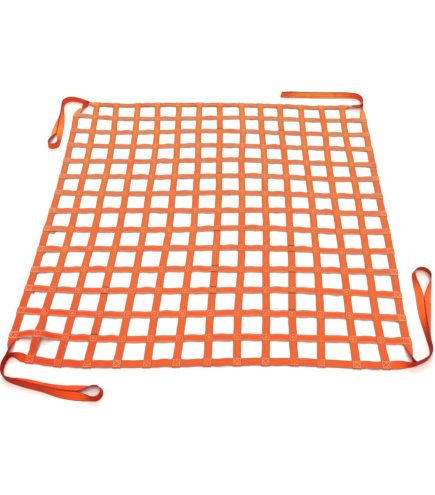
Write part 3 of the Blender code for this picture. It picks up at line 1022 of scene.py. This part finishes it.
def weave_height(maths, across, along):
    """Ribs along the webbing, crossed by picks that are set half a pick on in every second rib."""
    rib = maths.op("MULTIPLY", across, RIBS_ACROSS)
    odd = maths.op("MULTIPLY", maths.op("FLOORED_MODULO", maths.op("FLOOR", rib), 2.0), 0.5)
    pick = maths.op("ADD", maths.op("MULTIPLY", along, PICKS_ALONG), odd)
    rib_height = maths.op("ABSOLUTE", maths.op("SINE", maths.op("MULTIPLY", rib, math.pi)))
    pick_height = maths.op("ABSOLUTE", maths.op("SINE", maths.op("MULTIPLY", pick, math.pi)))
    crossed = maths.op("ADD", maths.op("MULTIPLY", pick_height, 1 - PICK_LEAST), PICK_LEAST)
    return maths.op("MULTIPLY", rib_height, crossed)


def webbing_material(name):
    """Woven polyester webbing: ribs along, picks across, darker edges, and a hue that drifts."""
    material, tree, shader = new_material(name)
    maths = Maths(tree)
    colours = WEBBING_COLOURS[name]
    coordinates = tree.nodes.new("ShaderNodeTexCoord")
    uv = tree.nodes.new("ShaderNodeUVMap")
    uv.uv_map = "along"
    across, along, _ = maths.split(uv.outputs["UV"])

    fine = maths.ramp(maths.noise(coordinates.outputs["Object"], FLECK_SCALE, FLECK_DETAIL), *FLECK_RANGE)
    base = face_colour(maths, coordinates, colours)
    base = maths.mix(maths.op("MULTIPLY", fine, FLECK_STRENGTH), base, FLECKS)
    base = edged_colour(maths, base, across, colours)
    tree.links.new(base, shader.inputs["Base Color"])

    bump = tree.nodes.new("ShaderNodeBump")
    bump.inputs["Strength"].default_value = WEAVE_STRENGTH
    bump.inputs["Distance"].default_value = WEAVE_DEPTH
    tree.links.new(weave_height(maths, across, along), bump.inputs["Height"])
    tree.links.new(bump.outputs["Normal"], shader.inputs["Normal"])
    tree.links.new(maths.ramp(fine, 0.0, 1.0, *WEBBING_ROUGHNESS), shader.inputs["Roughness"])
    shader.inputs["Sheen Weight"].default_value = SHEEN_WEIGHT
    shader.inputs["Sheen Roughness"].default_value = SHEEN_ROUGHNESS
    shader.inputs["Sheen Tint"].default_value = SHEEN_TINT
    shader.inputs["Specular IOR Level"].default_value = WEBBING_SPECULAR
    return material


def thread_material(name, colours):
    """Sewing thread, and the painted step shadows' dark stitches, brighter in some parts of the net than in
    others.
    """
    material, tree, shader = new_material(name)
    maths = Maths(tree)
    place = tree.nodes.new("ShaderNodeTexCoord").outputs["Object"]
    shade = maths.ramp(maths.noise(place, THREAD_SCALE), *THREAD_RANGE)
    tree.links.new(maths.mix(shade, *colours), shader.inputs["Base Color"])
    shader.inputs["Roughness"].default_value = THREAD_ROUGHNESS
    return material


def floor_material():
    material, _, shader = new_material("pale_floor")
    shader.inputs["Base Color"].default_value = FLOOR_COLOUR
    shader.inputs["Roughness"].default_value = FLOOR_ROUGHNESS
    shader.inputs["Specular IOR Level"].default_value = FLOOR_SPECULAR
    return material


def make_floor():
    mesh = bpy.data.meshes.new("floor")
    corners = ((-1, -1), (1, -1), (1, 1), (-1, 1))
    points = [(x * FLOOR_HALF, y * FLOOR_HALF, -FLOOR_DROP) for x, y in corners]
    mesh.from_pydata(points, [], [(0, 1, 2, 3)])
    mesh.materials.append(floor_material())
    floor = bpy.data.objects.new("floor", mesh)
    bpy.context.scene.collection.objects.link(floor)


def make_lights():
    """An even pale sky and three wide lamps."""
    world = bpy.data.worlds.new("studio")
    world.use_nodes = True
    background = world.node_tree.nodes["Background"]
    background.inputs["Color"].default_value = SKY_COLOUR
    background.inputs["Strength"].default_value = SKY_STRENGTH
    bpy.context.scene.world = world

    for name, strength, height, width in LAMPS:
        sun = bpy.data.lights.new(name, "SUN")
        sun.energy = strength
        sun.angle = math.radians(width)
        lamp = bpy.data.objects.new(name, sun)
        lamp.rotation_euler = (math.radians(height - 90), 0.0, math.radians(LAMP_SIDE))
        bpy.context.scene.collection.objects.link(lamp)


def make_camera():
    """The photograph's camera, from its place and angles."""
    yaw = math.radians(CAMERA_YAW)
    down = math.radians(CAMERA_DOWN)
    roll = math.radians(CAMERA_ROLL)
    forward = Vector((math.sin(yaw) * math.cos(down), math.cos(yaw) * math.cos(down), -math.sin(down)))
    level_right = Vector((math.cos(yaw), -math.sin(yaw), 0.0))
    level_up = level_right.cross(forward)
    right = level_right * math.cos(roll) + level_up * math.sin(roll)
    up = level_up * math.cos(roll) - level_right * math.sin(roll)
    camera = bpy.data.cameras.new("camera")
    camera.sensor_width = CAMERA_SENSOR
    camera.lens = CAMERA_LENS
    camera.clip_start = CAMERA_NEAR
    camera.clip_end = 4 * FLOOR_HALF
    holder = bpy.data.objects.new("camera", camera)
    turned = Matrix((right, up, -forward)).transposed().to_4x4()
    turned.translation = Vector(CAMERA_PLACE) * MM
    holder.matrix_world = turned
    bpy.context.scene.collection.objects.link(holder)
    bpy.context.scene.camera = holder


def make_stage():
    """Pale floor, soft light from behind and above, and the camera."""
    make_floor()
    make_lights()
    make_camera()
    bpy.context.scene.view_settings.view_transform = "Standard"
    bpy.context.scene.view_settings.look = "None"


def dress_net():
    """Every strap in the place of its node, the sewing on top, and the painted step shadows at a few
    crossings.
    """
    lengthwise = webbing_material("lengthwise_webbing")
    crosswise = webbing_material("crosswise_webbing")
    border = webbing_material("border_webbing")
    loops = webbing_material("loop_webbing")
    thread = thread_material("pale_thread", PALE_THREAD)
    painted_step_shadow = thread_material("painted_step_shadow", STEP_SHADOW_COLOURS)
    # Painted step shadows: dark stitches where a lengthwise strap drops off a crossing
    sew("painted_step_shadows", step_shadow_places(), painted_step_shadow)
    for direction, material in (("lengthwise", lengthwise), ("crosswise", crosswise)):
        for strap in range(1, CELLS):
            node = f"{direction}_{strap:02d}"
            dress(node, inner_stations(direction, strap), material)
            sew(f"sewing_{node}", sewing_places(direction, strap), thread)
    for node, direction, strap in (
        ("border_left", "lengthwise", 0),
        ("border_right", "lengthwise", CELLS),
        ("border_back", "crosswise", 0),
        ("border_front", "crosswise", CELLS),
    ):
        dress(node, border_stations(direction, strap), border)
    for node, loop in LOOPS.items():
        dress(node, loop_stations(loop), loops)


dress_net()
make_stage()
